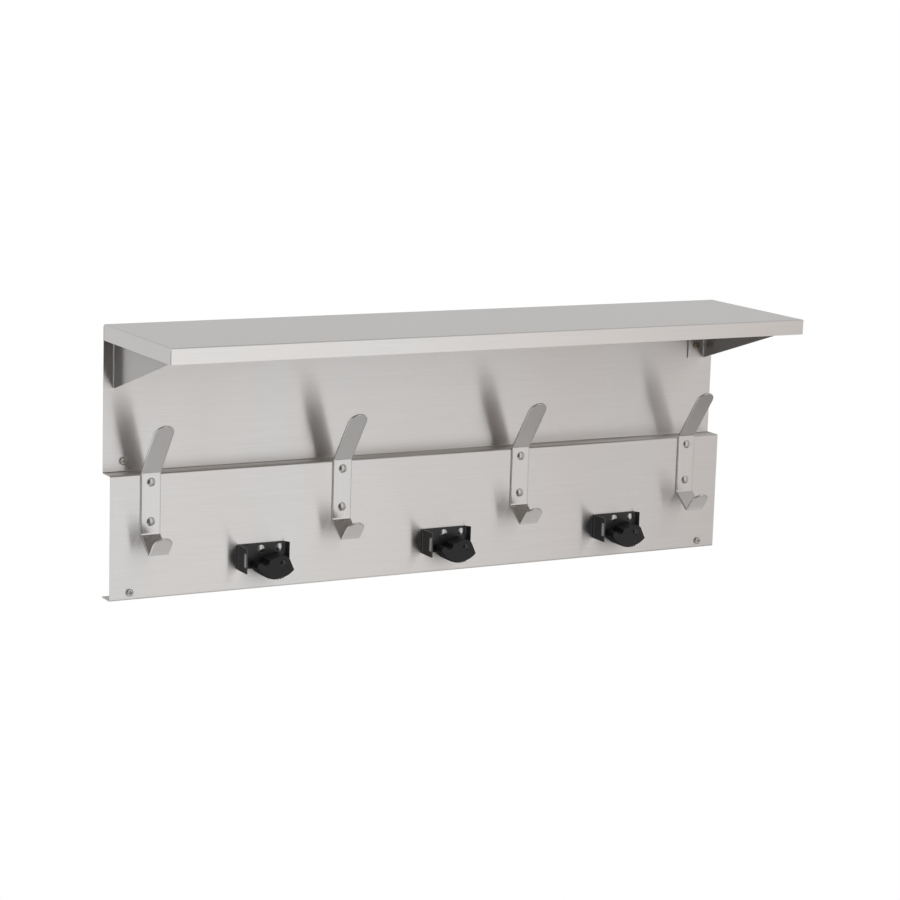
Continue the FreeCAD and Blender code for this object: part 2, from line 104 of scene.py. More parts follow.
WHITE, ROOM_LIGHT = (1, 1, 1, 1), (0.95, 0.95, 0.95, 1)

# The dark part of the front: its colour, and where it starts, is full and ends, in a direction's x
# and z.
DARK = (0.11, 0.105, 0.10, 1)
DARK_X, DARK_Z = (-0.92, -0.80, -0.12, 0.12), (-0.80, -0.62, 0.45, 0.70)

# The floor's tones begin this far left of the middle and run this far, in metres.
FLOOR_START, FLOOR_RUN = 0.6, 1.9

# Scales of a noise's axes that draw it out into brushed lines along X, Y or Z.
DRAWN = 0.012
ALONG_X, ALONG_Y, ALONG_Z = (DRAWN, 1, 1), (1, DRAWN, 1), (1, 1, DRAWN)

# Faces that look up, down or to either side, as an axis and a way along it (0 for both ways).
UP, DOWN, SIDEWAYS = (2, 1), (2, -1), (0, 0)

# Points this close become one, edges this short are dropped, and edges past this angle stay sharp.
MERGE = 0.002 * MM
SHORTEST = 0.0005 * MM
SHARP = math.radians(34)


def length(name, description, millimetres):
    """A size that the panel shows in the scene's units."""
    return FloatProperty(name=name, description=description, default=millimetres * MM, min=0.0,
                         precision=5, unit="LENGTH")


def angle(name, description, degrees):
    """An angle, shown in degrees."""
    return FloatProperty(name=name, description=description, default=math.radians(degrees),
                         unit="ROTATION")


def share(name, description, value):
    """A number from 0 to 1."""
    return FloatProperty(name=name, description=description, default=value, min=0.0, max=1.0,
                         subtype="FACTOR")


def colour(name, description, value):
    """A colour in linear light."""
    return FloatVectorProperty(name=name, description=description, default=value, min=0.0, max=1.0,
                               size=3, subtype="COLOR")


class SteelLook(bpy.types.PropertyGroup):
    """Colours and roughness of the stainless steel"""
    panel: colour("Panel", "Steel of the back panel", (0.81, 0.80, 0.793))
    shelf: colour("Shelf", "Steel of the shelf", (0.78, 0.771, 0.764))
    # Painted shade: a darker steel colour painted on the panel's up-facing ledge.
    ledge_shade: colour("Ledge", "Dusty steel on the panel's ledge", (0.64, 0.62, 0.60))
    # Painted shade: a darker, browner steel colour painted on the shelf's down-facing faces.
    under: colour("Underside", "Duller steel under the shelf", (0.45, 0.415, 0.39))
    # Painted shade: a darker steel colour painted on the brackets' side-facing webs.
    web_shade: colour("Webs", "Duller steel of the brackets' upright sheets", (0.58, 0.57, 0.565))
    strip: colour("Hooks", "Steel of the hooks", (0.70, 0.694, 0.69))
    rivet: colour("Rivets", "Steel of the rivets", (0.60, 0.592, 0.585))
    screw: colour("Screws", "Steel of the lower wall screws", (0.54, 0.525, 0.505))
    bronzed: colour("Bracket screws", "Bronzed steel of the brackets' screws", (0.30, 0.24, 0.19))
    rough: share("Roughness", "Roughness of the panel and the brackets", 0.30)
    shelf_rough: share("Shelf roughness", "Roughness of the shelf", 0.20)
    strip_rough: share("Hook roughness", "Roughness of the hooks", 0.22)
    rivet_rough: share("Rivet roughness", "Roughness of the hooks' rivets", 0.22)
    bright_rough: share("Bright rivet roughness", "Roughness of the holders' rivets", 0.20)
    screw_rough: share("Screw roughness", "Roughness of the lower wall screws", 0.26)
    bronzed_rough: share("Bracket screw roughness", "Roughness of the brackets' screws", 0.34)
    brushing: share("Brushing", "How much more the panel blurs up and down than sideways", 1.0)
    edge: length("Shelf edge", "Rounding of the shelf's cut edges", 0.3)


class BlackLook(bpy.types.PropertyGroup):
    """Colours and roughness of the holders"""
    plate: colour("Plate", "Black paint of the holder plates", (0.014, 0.014, 0.015))
    # A painted highlight: the lighter colour laid on the jaw's bead, its front edge and the bends by
    # the panel.
    highlight_tone: colour("Worn", "Paint rubbed thin on bead, edge and bends", (0.30, 0.30, 0.295))
    cam: colour("Cam", "Rubber of the cams", (0.016, 0.016, 0.0165))
    pin: colour("Pin", "Blackened steel of the cam pins", (0.06, 0.06, 0.062))
    spacer: colour("Spacer", "Nylon of the spacers", (0.03, 0.03, 0.03))
    wire: colour("Spring", "Wire of the cam springs", (0.42, 0.41, 0.40))
    plate_rough: share("Plate roughness", "Roughness of the paint", 0.33)
    cam_rough: share("Cam roughness", "Roughness of the rubber", 0.5)
    pin_rough: share("Pin roughness", "Roughness of the cam pins", 0.16)
    spacer_rough: share("Spacer roughness", "Roughness of the spacers", 0.45)
    wire_rough: share("Spring roughness", "Roughness of the springs", 0.3)


class HookSizes(bpy.types.PropertyGroup):
    """Sizes of a hook, one strip bent three times"""
    width: length("Width", "Across the strip", 25.4)
    sheet: length("Sheet", "Thickness of the strip", 2.4)
    bend: length("Bend", "Inside radius of its bends", 1.0)
    leg_bend: length("Bend under the leg", "Inside radius of the bend from the leg to the trough", 3.8)
    leg: length("Leg", "Length of the flat leg", 75.5)
    above_ledge: length("Above the ledge", "From the ledge up to the prong's bend", 1.7)
    prong: length("Prong", "Length of the prong", 78.4)
    prong_tilt: angle("Prong tilt", "From upright to the prong", 35.7)
    trough: length("Trough", "Length of the run down to the trough", 32.4)
    trough_tilt: angle("Trough tilt", "From upright to that run", 52.8)
    lip: length("Lip", "Length of the lip", 30.3)
    lip_tilt: angle("Lip tilt", "From upright to the lip", 38.6)
    edge: length("Edge", "Rounding of the strip's edges", 1.1)


class RivetSizes(bpy.types.PropertyGroup):
    """Sizes of the rivets"""
    hook_head: length("Hook rivet head", "Radius of a hook rivet's head", 5.4)
    hook_rise: length("Hook rivet rise", "Height of that head", 2.0)
    hook_tail: length("Hook rivet tail", "Radius of its set tail", 4.0)
    holder_head: length("Holder rivet head", "Radius of a holder rivet's head", 4.75)
    holder_rise: length("Holder rivet rise", "Height of that head", 1.4)
    holder_tail: length("Holder rivet tail", "Radius of its set tail", 3.4)
    shank: length("Shank", "Radius between head and tail", 2.0)
    sheet: length("Panel sheet", "Thickness of the panel that the tails are set against", 1.2)


class ScrewSizes(bpy.types.PropertyGroup):
    """Sizes of a pan-headed wall screw"""
    head: length("Head", "Radius of the head", 4.65)
    rise: length("Rise", "Height of the head", 2.9)
    round: length("Round", "Rounding of the head", 1.6)
    crown: length("Crown", "How far the head's top is domed", 0.18)
    neck: length("Neck", "Radius under the head", 2.1)
    crest: length("Thread crest", "Radius of the thread's crest", 2.4)
    root: length("Thread root", "Radius of the thread's root", 1.7)
    pitch: length("Thread pitch", "From one turn to the next", 1.6)
    point: length("Point", "Length of the point", 6.0)
    recess: length("Recess", "Depth of the cross in the middle", 1.6)
    arm: length("Arm", "Half the width of an arm of the cross at its foot", 0.42)
    slope: length("Slope", "Run of the sloped wall of an arm", 0.34)
    span: length("Span", "How far an arm reaches from the middle", 2.75)


class HolderSizes(bpy.types.PropertyGroup):
    """Sizes of a holder plate"""
    sheet: length("Sheet", "Thickness of the plate", 1.5)
    bend: length("Bend", "Inside radius of its bends", 0.6)
    left: length("Left", "From the holder's middle to the jaw's outer face", 12.6)
    right: length("Right", "From the holder's middle to the ear's bend", 49.05)
    reach: length("Jaw", "How far the jaw stands out of the panel", 28.0)
    ear: length("Ear", "Length of the ear", 9.2)
    flare: angle("Flare", "From straight out to the ear", 28.6)
    ear_foot: length("Ear's foot", "From the plate's foot up to the ear's foot", 9.6)
    corner: length("Corner", "Rounding of the plate's corners", 0.8)
    edge: length("Edge", "Rounding of the plate's edges", 0.3)
    bead: length("Bead", "Length of the bead", 19.0)
    bead_foot: length("Bead's foot", "From the plate's foot up to the bead", 6.9)
    bead_width: length("Bead width", "Width of the bead", 5.8)
    bead_rise: length("Bead rise", "Height of the bead", 1.0)
    bead_in: length("Bead to edge", "From the jaw's edge to the bead", 1.1)


class CamSizes(bpy.types.PropertyGroup):
    """Sizes of the cams, their pins and springs"""
    edge: length("Cam edge", "Rounding of the rubber's edges", 0.3)
    pin_head: length("Pin head", "Radius of the pin's head", 4.5)
    pin_rise: length("Pin rise", "Height of the pin's head", 1.5)
    pin: length("Pin", "Radius of the pin", 2.4)
    tenon: length("Tenon", "Radius of the pin's end in the plate", 1.9)
    wire: length("Wire", "Thickness of the spring's wire", 1.2)
    coil: length("Coil", "Radius of the coil's middle line", 5.45)
    coil_pitch: length("Coil pitch", "From one turn to the next", 1.7)
    turns: IntProperty(name="Turns", description="Turns of the spring", default=3, min=1)
    hook_in: length("Wire bend", "Radius of the bends to the legs", 1.6)
    in_cam: length("Leg in the cam", "Length of the leg in the rubber", 4.0)
    clear: length("Leg gap", "From the leg's end to the panel", 0.2)


class StageLook(bpy.types.PropertyGroup):
    """The floor and the room's light"""
    floor: colour("Floor", "Colour of the floor under the shelf", (0.6, 0.6, 0.59))
    floor_drop: length("Floor's drop", "From the unit's middle down to the floor", 1300.0)
    floor_radius: length("Floor's radius", "Radius of the floor's disc", 2000.0)


class ShelfSettings(bpy.types.PropertyGroup):
    """All the settings of the shelf"""
    steel: PointerProperty(type=SteelLook)
    black: PointerProperty(type=BlackLook)
    hook: PointerProperty(type=HookSizes)
    rivet: PointerProperty(type=RivetSizes)
    screw: PointerProperty(type=ScrewSizes)
    holder: PointerProperty(type=HolderSizes)
    cam: PointerProperty(type=CamSizes)
    stage: PointerProperty(type=StageLook)


class Value:
    """A node's output on which Python's operators add Math nodes."""

    def __init__(self, recipe, socket):
        self.recipe = recipe
        self.socket = socket

    def maths(self, operation, *values):
        """A Math node on values or numbers."""
        return self.recipe.add("ShaderNodeMath", {"operation": operation}, dict(enumerate(values)))

    def __add__(self, other):
        return self.maths("ADD", self, other)

    def __radd__(self, other):
        return self.maths("ADD", other, self)

    def __sub__(self, other):
        return self.maths("SUBTRACT", self, other)

    def __rsub__(self, other):
        return self.maths("SUBTRACT", other, self)

    def __mul__(self, other):
        return self.maths("MULTIPLY", self, other)

    def __rmul__(self, other):
        return self.maths("MULTIPLY", other, self)

    def __abs__(self):
        return self.maths("ABSOLUTE", self)


class Recipe:
    """A node tree being written: add() makes any node from its type, settings and inputs."""

    def __init__(self, tree):
        self.tree = tree

    def node(self, kind, settings=None, inputs=None):
        """A new node."""
        node = self.tree.nodes.new(kind)
        for key, value in (settings or {}).items():
            setattr(node, key, value)
        for key, value in (inputs or {}).items():
            self.feed(node.inputs[key], value)
        return node

    def add(self, kind, settings=None, inputs=None, output=0):
        """One output of a new node, as a value."""
        return Value(self, self.node(kind, settings, inputs).outputs[output])

    def feed(self, socket, value):
        """Links a value to a socket, or sets the socket to a constant."""
        if isinstance(value, Value):
            self.tree.links.new(value.socket, socket)
        else:
            socket.default_value = value

    def outputs(self, kind, inputs=None):
        """All the outputs of a node, by name."""
        return {s.name: Value(self, s) for s in self.node(kind, None, inputs).outputs}

    def place(self, stretch=(1, 1, 1)):
        """Object coordinates, stretched by a scale along each axis."""
        at = self.add("ShaderNodeTexCoord", output="Object")
        return self.add("ShaderNodeMapping", inputs={"Vector": at, "Scale": stretch})

    def axes(self, kind="Object"):
        """Object coordinates, or the piece's own normal, as three values."""
        split = self.outputs("ShaderNodeSeparateXYZ", {0: self.add("ShaderNodeTexCoord", output=kind)})
        return split["X"], split["Y"], split["Z"]

    def noise(self, scale, detail=2.0, rough=0.5, stretch=(1, 1, 1)):
        """Noise from 0 to 1 about 0.5, in cycles to a metre along the stretched axes."""
        return self.add("ShaderNodeTexNoise", inputs={
            "Vector": self.place(stretch), "Scale": scale, "Detail": detail, "Roughness": rough})

    def range(self, value, low, high, out_low=0.0, out_high=1.0):
        """A smooth step from one range to another."""
        return self.add("ShaderNodeMapRange", {"interpolation_type": "SMOOTHSTEP"},
                        {0: value, 1: low, 2: high, 3: out_low, 4: out_high})

    def window(self, value, start, low, high, end):
        """1 between low and high, down to 0 at start and end."""
        return self.range(value, start, low) * self.range(value, high, end, 1.0, 0.0)

    def mix(self, part, first, second):
        """Mixes two colours by a share."""
        return self.add("ShaderNodeMix", {"data_type": "RGBA"}, {0: part, 6: first, 7: second}, 2)

    def tones(self, level, tone, low, high):
        """A colour times low where a level is 0, up to the colour times high where it is 1."""
        return self.mix(level, shade(tone, low), shade(tone, high))

    def ramp(self, value, stops):
        """Colours along a value from 0 to 1, from (place, colour) stops."""
        node = self.node("ShaderNodeValToRGB", None, {0: value})
        elements = node.color_ramp.elements
        for stop in stops[1:-1]:
            elements.new(stop[0])
        for element, (place, tint) in zip(elements, stops):
            element.position = place
            element.color = (*tint, 1.0)
        return Value(self, node.outputs[0])

    def bump(self, height, strength, distance):
        """Normals that follow a height."""
        return self.add("ShaderNodeBump", inputs={
            "Height": height, "Strength": strength, "Distance": distance})


def new_material(name, constants):
    """A new material with its constants set, its recipe and its shader's sockets."""
    material = bpy.data.materials.new(name)
    material.use_nodes = True
    shader = material.node_tree.nodes["Principled BSDF"]
    for key, value in constants.items():
        shader.inputs[key].default_value = value
    return material, Recipe(material.node_tree), shader.inputs


def shade(tone, level):
    """A colour made lighter or darker, with its alpha."""
    return tuple(min(c * level, 1.0) for c in tone) + (1.0,)


def swing(noise, size):
    """A noise's swing about its middle, made this large."""
    return (noise - 0.5) * size


def brushed(name, steel, rough, drawn, brushing=0.0, side_drawn=None, painted_shade=None):
    """Satin stainless steel: fine brushed lines in its colour, roughness and height, faint clouds and
    warm tints, and a few longer scratches. Side faces can have lines drawn out another way. Painted
    shade, if given, is the way the faces look that it darkens, its darker tint and its change of
    roughness."""
    constants = {"Metallic": 1.0, "Anisotropic": brushing, "Anisotropic Rotation": 0.25}
    material, recipe, sockets = new_material(name, constants)

    def fine_lines(stretch):
        return recipe.noise(1500.0, detail=3.0, rough=0.62, stretch=stretch)

    lines = fine_lines(drawn)
    if side_drawn:
        across, _, _ = recipe.axes("Normal")
        beside = recipe.range(abs(across), 0.6, 0.8)
        lines = lines * (1.0 - beside) + fine_lines(side_drawn) * beside
    clouds = recipe.noise(5.0, detail=3.0, rough=0.55, stretch=(1.6, 1, 0.7))
    tint = recipe.noise(3.5, detail=1.0, rough=0.5, stretch=(2.2, 1, 0.5))
    scratch = recipe.noise(420.0, detail=2.0, rough=0.7, stretch=tuple(v ** 0.8 for v in drawn))
    level = 0.5 + swing(lines, 0.22) + swing(clouds, 0.13) + swing(scratch, 0.20)
    tinted = tuple(c * k for c, k in zip(steel, (1.008, 0.992, 0.984)))
    plain, warm = recipe.tones(level, steel, 0.8, 1.2), recipe.tones(level, tinted, 0.8, 1.2)
    base = recipe.mix(recipe.range(tint, 0.4, 0.62), plain, warm)
    gloss = rough + swing(lines, 0.10) + swing(clouds, 0.06)
    # Painted shade: faces that look the given way get the darker tint.
    if painted_shade:
        (axis, way), tone, duller = painted_shade
        facing = recipe.axes("Normal")[axis]
        shade_mask = recipe.range(facing * way if way else abs(facing), 0.5, 0.9)
        base = recipe.mix(shade_mask, base, recipe.tones(level, tone, 0.8, 1.2))
        gloss = gloss + shade_mask * duller
    recipe.feed(sockets["Base Color"], base)
    recipe.feed(sockets["Roughness"], gloss)
    recipe.feed(sockets["Normal"], recipe.bump(lines, 0.12, 0.2 * MM))
    return material


def bright_metal(name, metal, rough):
    """Turned or upset metal: fine grain and handling marks."""
    material, recipe, sockets = new_material(name, {"Metallic": 1.0})
    grain = recipe.noise(2400.0, detail=3.0, rough=0.6)
    marks = recipe.noise(420.0, detail=2.0, rough=0.6)
    level = 0.5 + swing(grain, 0.06) + swing(marks, 0.10)
    recipe.feed(sockets["Base Color"], recipe.tones(level, metal, 0.5, 1.5))
    recipe.feed(sockets["Roughness"], rough + swing(marks, 0.12))
    recipe.feed(sockets["Normal"], recipe.bump(marks, 0.18, 0.2 * MM))
    return material


def black_paint(name, paint, highlight_tone, rough, highlight_mask):
    """Black paint with orange peel and dusty clouds, and painted highlights where its mask says."""
    material, recipe, sockets = new_material(name, {"Specular IOR Level": 0.5})
    peel = recipe.noise(900.0)
    clouds = recipe.noise(70.0, detail=4.0, rough=0.6)
    patches = recipe.range(recipe.noise(500.0, detail=3.0, rough=0.65), 0.26, 0.50)
    # Painted highlight: a lighter colour where the mask says, broken up in patches.
    lightened = highlight_mask(recipe) * patches
    base = recipe.mix(lightened, recipe.tones(clouds, paint, 0.8, 1.3), shade(highlight_tone, 1.0))
    recipe.feed(sockets["Base Color"], base)
    recipe.feed(sockets["Roughness"], rough + swing(clouds, 0.2) - lightened * 0.12)
    recipe.feed(sockets["Normal"], recipe.bump(peel, 0.2, 0.1 * MM))
    return material


def rubber(name, tone, rough):
    """Moulded rubber or nylon: matt, with a fine grain and faint dust."""
    material, recipe, sockets = new_material(name, {"Specular IOR Level": 0.32})
    grain = recipe.noise(2200.0, detail=3.0, rough=0.6)
    dust = recipe.noise(130.0, detail=3.0, rough=0.6)
    recipe.feed(sockets["Base Color"], recipe.tones(dust, tone, 0.8, 1.35))
    recipe.feed(sockets["Roughness"], rough + swing(dust, 0.15))
    recipe.feed(sockets["Normal"], recipe.bump(grain, 0.3, 0.1 * MM))
    return material


def dress(material, *names):
    """Gives CAD nodes a material."""
    for name in names:
        slots = frame["nodes"][name].data.materials
        slots.clear()
        slots.append(material)


def skin(name, grids):
    """A closed mesh over grids of points: rows by columns, each row joined end to end, the seams and
    poles merged and the faces turned outwards."""
    points, faces, start = [], [], 0
    for grid in grids:
        rows, columns = grid.shape[:2]
        index = start + np.arange(rows * columns).reshape(rows, columns)
        index = np.concatenate([index, index[:, :1]], 1)
        quads = np.stack([index[:-1, :-1], index[:-1, 1:], index[1:, 1:], index[1:, :-1]], -1)
        points.append(grid.reshape(-1, 3))
        faces.append(quads.reshape(-1, 4))
        start += rows * columns
    mesh = bpy.data.meshes.new(name)
    mesh.from_pydata(np.concatenate(points).tolist(), [], np.concatenate(faces).tolist())
    return closed(name, mesh)


def closed(name, mesh):
    """A piece from a mesh, its doubles merged, its faces outwards and shaded smooth."""
    work = bmesh.new()
    work.from_mesh(mesh)
    bmesh.ops.remove_doubles(work, verts=work.verts, dist=MERGE)
    bmesh.ops.dissolve_degenerate(work, dist=SHORTEST, edges=work.edges)
    bmesh.ops.recalc_face_normals(work, faces=work.faces)
    for face in work.faces:
        face.smooth = True
    work.to_mesh(mesh)
    work.free()
    mesh.set_sharp_from_angle(angle=SHARP)
    piece = bpy.data.objects.new(name, mesh)
    bpy.context.scene.collection.objects.link(piece)
    return piece


def place(piece, node, body, material, slot):
    """Puts a piece in a CAD node's stead."""
    piece.data.materials.clear()
    piece.data.materials.append(material)
    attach(piece, body)
    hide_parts(node)


def runs(corners, radii):
    """A flat path of straight runs and round bends of given radii, as rows of start distance, start
    point, heading and curvature, and its length."""
    corners = np.array(corners)
    steps = np.diff(corners, axis=0)
    lengths = np.hypot(*steps.T)
    headings = np.arctan2(steps[:, 1], steps[:, 0])
    turns = (np.diff(headings) + math.pi) % (2 * math.pi) - math.pi
    radii = np.broadcast_to(radii, len(turns))
    cuts = np.concatenate([[0], radii * np.tan(np.abs(turns) / 2), [0]])
    rows, at = [], 0.0
    for i, heading in enumerate(headings):
        way = np.array([math.cos(heading), math.sin(heading)])
        rows.append([at, *(corners[i] + way * cuts[i]), heading, 0.0])
        at += lengths[i] - cuts[i] - cuts[i + 1]
        if i < len(turns):
            start = corners[i + 1] - way * cuts[i + 1]
            rows.append([at, *start, heading, math.copysign(1 / radii[i], turns[i])])
            at += radii[i] * abs(turns[i])
    return np.array(rows), at


def along(path, distance):
    """Points and left-hand normals at distances: on a run p + d (cos h, sin h), on a bend of
    curvature k the integral of the turning heading h + k d."""
    row = path[np.clip(np.searchsorted(path[:, 0], distance, side="right") - 1, 0, len(path) - 1)]
    start, x, y, heading, bend = np.moveaxis(row, -1, 0)
    went = distance - start
    turned = heading + bend * went
    straight = bend == 0
    safe = np.where(straight, 1.0, bend)
    x = x + np.where(straight, went * np.cos(heading), (np.sin(turned) - np.sin(heading)) / safe)
    y = y + np.where(straight, went * np.sin(heading), (np.cos(heading) - np.cos(turned)) / safe)
    return x, y, -np.sin(turned), np.cos(turned)


def stations(path, total, step, clear):
    """Distances along a path, a step apart and closer in its bends, kept clear of both ends."""
    marks = [np.arange(clear, total - clear, step)]
    for begin, end, bend in zip(path[:, 0], [*path[1:, 0], total], path[:, 4]):
        if bend:
            marks.append(np.linspace(begin, end, 9))
    marks = np.unique(np.round(np.concatenate(marks), 7))
    return marks[(marks > clear) & (marks < total - clear)]


def ring(sheet, edge, fill):
    """One turn round a sheet's section, as columns of share across (-1 to 1), inset from the edge and
    height: the front, a quarter round, the wall, a quarter round, and the same at the back. The front
    and back end a little short of the rounds, which keeps them flat."""
    bend = np.linspace(0, math.pi / 2, 5)
    inset, height = edge * (1 - np.sin(bend)), sheet / 2 - edge + edge * np.cos(bend)
    support = edge * 1.6
    across = np.concatenate([fill, np.ones(2 * len(bend))])
    insets = np.concatenate([np.full(len(fill), support), inset, inset[::-1]])
    heights = np.concatenate([np.full(len(fill), sheet / 2), height, -height[::-1]])
    return (np.concatenate([across, -across]), np.concatenate([insets, insets]),
            np.concatenate([heights, -heights]))


def rail(marks, across, way):
    """Outline rows along a straight edge: the places, its distance across, and the inward normal."""
    return np.stack([marks, np.full(len(marks), across), np.zeros(len(marks)),
                     np.full(len(marks), float(way))], 1)


def plate(low, high, sheet, edge, fill, swell=None):
    """A flat sheet between two outlines, as distance, width and height: each outline has rows of
    point and inward normal, and a point lies at its inset along that normal, mixed across by share."""
    across, inset, height = ring(sheet, edge, fill)
    low, high = np.array(low)[:, None], np.array(high)[:, None]
    down = low[..., :2] + low[..., 2:] * inset[:, None]
    up = high[..., :2] + high[..., 2:] * inset[:, None]
    part = (across[:, None] + 1) / 2
    flat = down * (1 - part) + up * part
    heights = np.broadcast_to(height, flat.shape[:2])
    if swell:
        heights = heights + swell(flat[..., 0], flat[..., 1])
    return flat[..., 0], flat[..., 1], heights


def hook_grid(sizes, x):
    """A hook's strip: a flat sheet with half-round ends, r (1 - cos a) along and r sin a across, laid
    on the bent path in side view."""
    y = PANEL_FACE - sizes.sheet / 2
    high = LEDGE_TOP + sizes.above_ledge
    low = high - sizes.leg
    prong, trough, lip = sizes.prong_tilt, sizes.trough_tilt, sizes.lip_tilt
    tip = (y - sizes.prong * math.sin(prong), high + sizes.prong * math.cos(prong))
    foot = (y - sizes.trough * math.sin(trough), low - sizes.trough * math.cos(trough))
    end = (foot[0] - sizes.lip * math.sin(lip), foot[1] + sizes.lip * math.cos(lip))
    radii = np.array([sizes.bend, sizes.leg_bend, sizes.bend]) + sizes.sheet / 2
    path, total = runs([tip, (y, high), (y, low), foot, end], radii)
    half = sizes.width / 2
    turn = np.linspace(0, math.pi / 2, 17)
    cap = np.stack([half * (1 - np.cos(turn)), half * np.sin(turn), np.cos(turn), -np.sin(turn)], 1)
    marks = stations(path, total, step=6 * MM, clear=half)
    side = rail(marks, half, -1)
    back = cap[::-1] * [-1, 1, -1, 1] + [total, 0, 0, 0]
    right = np.concatenate([cap, side, back])
    left = right * [1, -1, 1, -1]
    along_strip, across, height = plate(left, right, sizes.sheet, sizes.edge, np.linspace(-1, 1, 5))
    py, pz, ny, nz = along(path, along_strip)
    return np.stack([x + across, py + height * ny, pz + height * nz], -1)


def holder_grid(sizes, x, foot, top):
    """A holder plate: a flat sheet with a raised foot at the ear and a bead pressed out of the jaw,
    laid on the bent path in plan. The bead's rise is sqrt(b b - d d) less the ball's sunk part, with d
    the distance from the bead's middle line and b the ball's radius."""
    back = PANEL_FACE - sizes.sheet / 2
    jaw = x - sizes.left + sizes.sheet / 2
    right = x + sizes.right
    tip = (right + sizes.ear * math.sin(sizes.flare), back - sizes.ear * math.cos(sizes.flare))
    bend = sizes.bend + sizes.sheet / 2
    path, total = runs([(jaw, PANEL_FACE - sizes.reach), (jaw, back), (right, back), tip], bend)
    ear = path[-2, 0]
    before_ear = ear - 3 * MM
    ear_foot = foot + sizes.ear_foot
    r = sizes.corner
    turn = np.linspace(0, math.pi / 2, 7)
    cosine, sine = np.cos(turn), np.sin(turn)
    corner = np.stack([r * (1 - cosine), r * sine - r, cosine, -sine], 1)
    marks = stations(path, total, step=4 * MM, clear=r)
    bead_marks = sizes.bead_in + np.linspace(-0.1, 1.1, 25) * sizes.bead_width
    marks = np.unique(np.concatenate([marks, bead_marks]))
    before, after = marks[(marks > r) & (marks < before_ear)], marks[marks > ear]
    step_top = np.linspace(before_ear, ear, 2 * len(turn))
    start = [[0, (foot + top) / 2, 1, 0]]
    end = [[total, (ear_foot + top) / 2, -1, 0]]
    high = np.concatenate([
        start, corner + [0, top, 0, 0], rail(before, top, -1), rail(step_top, top, -1),
        rail(after, top, -1), corner[::-1] * [-1, 1, -1, 1] + [total, top, 0, 0], end])
    outer = np.stack([ear - r + r * sine, foot + r * (1 - cosine), -sine, cosine], 1)
    inner = np.stack([np.full(len(turn), ear), np.full(len(turn), ear_foot), -cosine, sine], 1)
    low = np.concatenate([
        start, corner * [1, -1, 1, -1] + [0, foot, 0, 0], rail(before, foot, 1), outer, inner,
        rail(after, ear_foot, 1), corner[::-1] * [-1, -1, -1, -1] + [total, ear_foot, 0, 0], end])
    half = sizes.bead_width / 2
    ball = (half ** 2 + sizes.bead_rise ** 2) / (2 * sizes.bead_rise)
    bead_middle = foot + sizes.bead_foot + sizes.bead / 2

    def swell(s, z):
        past = np.clip(np.abs(z - bead_middle) - (sizes.bead / 2 - half), 0, None)
        apart = np.hypot(s - sizes.bead_in - half, past)
        rise = np.sqrt(np.clip(ball ** 2 - apart ** 2, 0, None)) - ball + sizes.bead_rise
        return np.clip(rise, 0, None)

    s, z, height = plate(low, high, sizes.sheet, sizes.edge, np.linspace(-1, 1, 61), swell)
    px, py, nx, ny = along(path, s)
    return np.stack([px + height * nx, py + height * ny, z], -1)


def turned(profile, x, z, columns=48):
    """A body turned about an axis along Y: each row of (radius, y) at (x + r cos a, z + r sin a)."""
    radius, y = np.array(profile).T
    a = np.linspace(0, 2 * math.pi, columns, endpoint=False)
    return np.stack([x + np.outer(radius, np.cos(a)), np.outer(y, np.ones(columns)),
                     z + np.outer(radius, np.sin(a))], -1)


def dome(radius, height, base, way, steps=12):
    """Rows of (radius, y) from a domed top out to its rim: a ball's cap with a small upright rim,
    softened where the two meet."""
    rim = 0.18 * height
    rise = height - rim
    ball = (radius ** 2 + rise ** 2) / (2 * rise)
    reach = math.asin(min(1.0, radius / ball))
    a = np.linspace(0, 1, steps) * reach
    rows = np.stack([ball * np.sin(a), base + way * (height - ball * (1 - np.cos(a)))], 1)
    soft = 0.10 * height
    rows[-1] -= [soft * 0.5, 0]
    return np.concatenate([rows, [[radius, base + way * (rim - soft)], [radius, base]]])


def rivet_grid(x, z, seat, head, rise, shank, back, tail, tail_end):
    """A rivet: domed head, shank, and the tail set against the sheet's back."""
    inside = [[shank, seat], [shank, back]]
    tail_rows = dome(tail, tail_end - back, back, 1)[::-1]
    return turned(np.concatenate([dome(head, rise, seat, -1), inside, tail_rows]), x, z)


